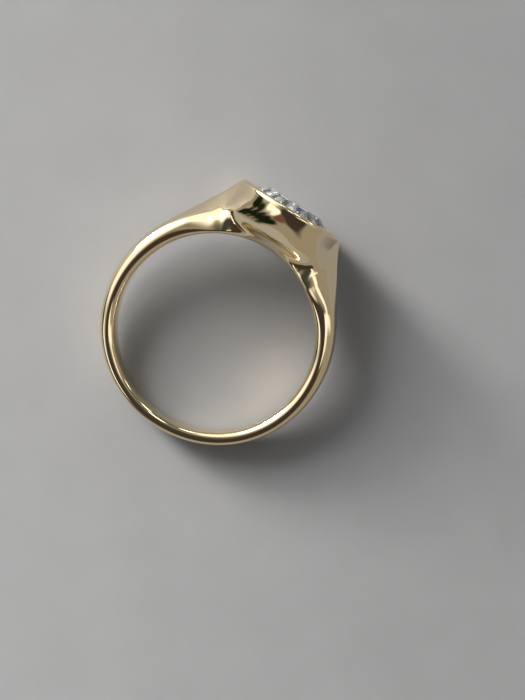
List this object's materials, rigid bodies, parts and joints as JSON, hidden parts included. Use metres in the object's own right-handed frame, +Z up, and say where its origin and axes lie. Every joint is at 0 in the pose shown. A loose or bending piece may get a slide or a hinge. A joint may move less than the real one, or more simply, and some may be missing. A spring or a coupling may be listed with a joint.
{
  "type": "bezel set ring",
  "caption": "Gold ring lying on its side, its band widening into a round head that holds a faceted clear stone in a bezel.",
  "frame": {"origin": "centre of the footprint, on the surface that the ring lies on", "axes": "+Z up, +Y from the back of the shank towards the head, +X across the finger hole"},
  "size_m": [0.0202, 0.023, 0.0095],
  "materials": {
    "gold": "mirror polished yellow gold with faint wear",
    "stone": "polished colourless faceted stone"
  },
  "bodies": {
    "root": {"ring_body": "gold", "stone": "stone"}
  },
  "joints": []
}
